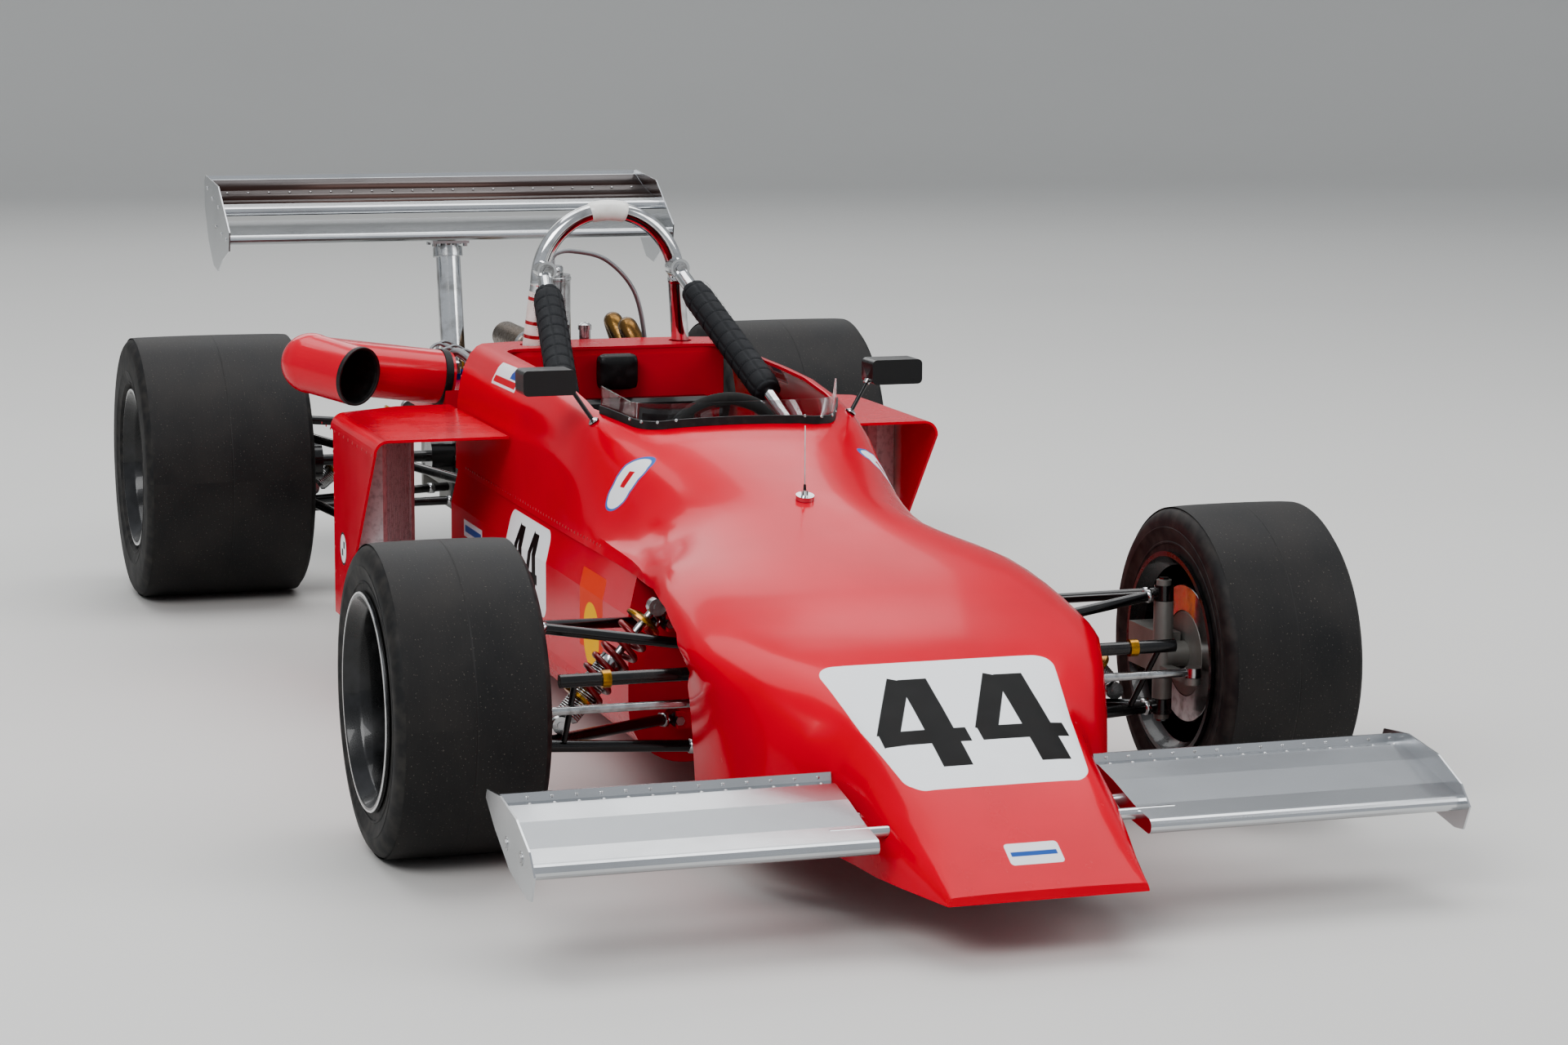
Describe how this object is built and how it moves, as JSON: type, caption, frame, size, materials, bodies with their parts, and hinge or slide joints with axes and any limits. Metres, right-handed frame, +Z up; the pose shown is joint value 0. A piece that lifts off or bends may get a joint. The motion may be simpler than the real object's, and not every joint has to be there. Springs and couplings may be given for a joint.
{
  "type": "open wheel racing car",
  "caption": "Single-seat open wheel racing car with slick tyres, wedge nose, front wings, side radiators, roll hoop and rear wing.",
  "frame": {"origin": "on the ground under the middle of the overall length and width", "axes": "+Z up, nose towards -Y, driver's left at +X"},
  "size_m": [1.708, 4.182, 0.9359],
  "materials": {
    "body_enamel": "gloss",
    "tub_enamel": "gloss",
    "clear_screen": "gloss",
    "black_trim": "matte",
    "chrome": "gloss",
    "black_composite": "gloss",
    "black_vinyl": "satin",
    "wing_aluminium": "satin",
    "radiator_core": "matte",
    "cast_alloy": "satin",
    "exhaust_steel": "satin",
    "black_tube": "gloss",
    "spring_red": "gloss",
    "bright_steel": "satin",
    "tyre_rubber": "matte",
    "rim_black": "satin"
  },
  "bodies": {
    "chassis": {"tub": "tub_enamel", "bodywork": "body_enamel", "windscreen": "clear_screen", "screen_trim": "black_trim", "aerial": "chrome", "mirrors": "black_composite", "seat": "black_composite", "headrest": "black_vinyl", "dashboard": "black_trim", "roll_hoop": "chrome", "brace_pads": "black_vinyl", "front_wing_left": "wing_aluminium", "front_wing_right": "wing_aluminium", "rear_wing": "wing_aluminium", "wing_post": "chrome", "side_pod_left": "body_enamel", "side_pod_right": "body_enamel", "radiators": "radiator_core", "air_intake": "body_enamel", "engine": "cast_alloy", "gearbox": "cast_alloy", "exhaust": "exhaust_steel", "catch_tanks": "wing_aluminium", "front_wishbones": "black_tube", "front_coilovers": "spring_red", "anti_roll_bar": "black_tube", "rack_housing": "cast_alloy", "rear_uprights": "cast_alloy", "rear_links": "black_tube", "rear_coilovers": "spring_red"},
    "left_upright": {"front_upright_left": "cast_alloy"},
    "right_upright": {"front_upright_right": "cast_alloy"},
    "steering_rack": {"steering_rack": "bright_steel"},
    "steering_wheel": {"steering_wheel": "black_vinyl"},
    "front_left_wheel": {"front_tyre_left": "tyre_rubber", "front_rim_left": "rim_black"},
    "front_right_wheel": {"front_tyre_right": "tyre_rubber", "front_rim_right": "rim_black"},
    "rear_left_wheel": {"rear_tyre_left": "tyre_rubber", "rear_rim_left": "rim_black", "driveshaft_left": "black_tube"},
    "rear_right_wheel": {"rear_tyre_right": "tyre_rubber", "rear_rim_right": "rim_black", "driveshaft_right": "black_tube"}
  },
  "joints": [
    {"name": "left_kingpin", "type": "hinge", "parent": "chassis", "child": "left_upright", "pos_m": [0.56, -1.218, 0.254], "axis": [0, 0, 1], "range_deg": [-16, 16]},
    {"name": "right_kingpin", "type": "hinge", "parent": "chassis", "child": "right_upright", "pos_m": [-0.56, -1.218, 0.254], "axis": [0, 0, 1], "range_deg": [-16, 16]},
    {"name": "rack_travel", "type": "slide", "parent": "chassis", "child": "steering_rack", "axis": [1, 0, 0], "range_m": [-0.0345, 0.0345]},
    {"name": "steering_wheel_turn", "type": "hinge", "parent": "chassis", "child": "steering_wheel", "pos_m": [0, -0.473, 0.517], "axis": [0, 0.9537, 0.3007], "range_deg": [-160, 160]},
    {"name": "front_left_roll", "type": "hinge", "parent": "left_upright", "child": "front_left_wheel", "pos_m": [0.6965, -1.218, 0.254], "axis": [1, 0, 0], "continuous": true},
    {"name": "front_right_roll", "type": "hinge", "parent": "right_upright", "child": "front_right_wheel", "pos_m": [-0.6965, -1.218, 0.254], "axis": [1, 0, 0], "continuous": true},
    {"name": "rear_left_roll", "type": "hinge", "parent": "chassis", "child": "rear_left_wheel", "pos_m": [0.6675, 1.282, 0.292], "axis": [1, 0, 0], "continuous": true},
    {"name": "rear_right_roll", "type": "hinge", "parent": "chassis", "child": "rear_right_wheel", "pos_m": [-0.6675, 1.282, 0.292], "axis": [1, 0, 0], "continuous": true}
  ],
  "couplings": [
    {"joint": "right_kingpin", "follows": "left_kingpin", "ratio": 1},
    {"joint": "rack_travel", "follows": "left_kingpin", "m_per_rad": 0.1234},
    {"joint": "steering_wheel_turn", "follows": "left_kingpin", "ratio": 10}
  ]
}
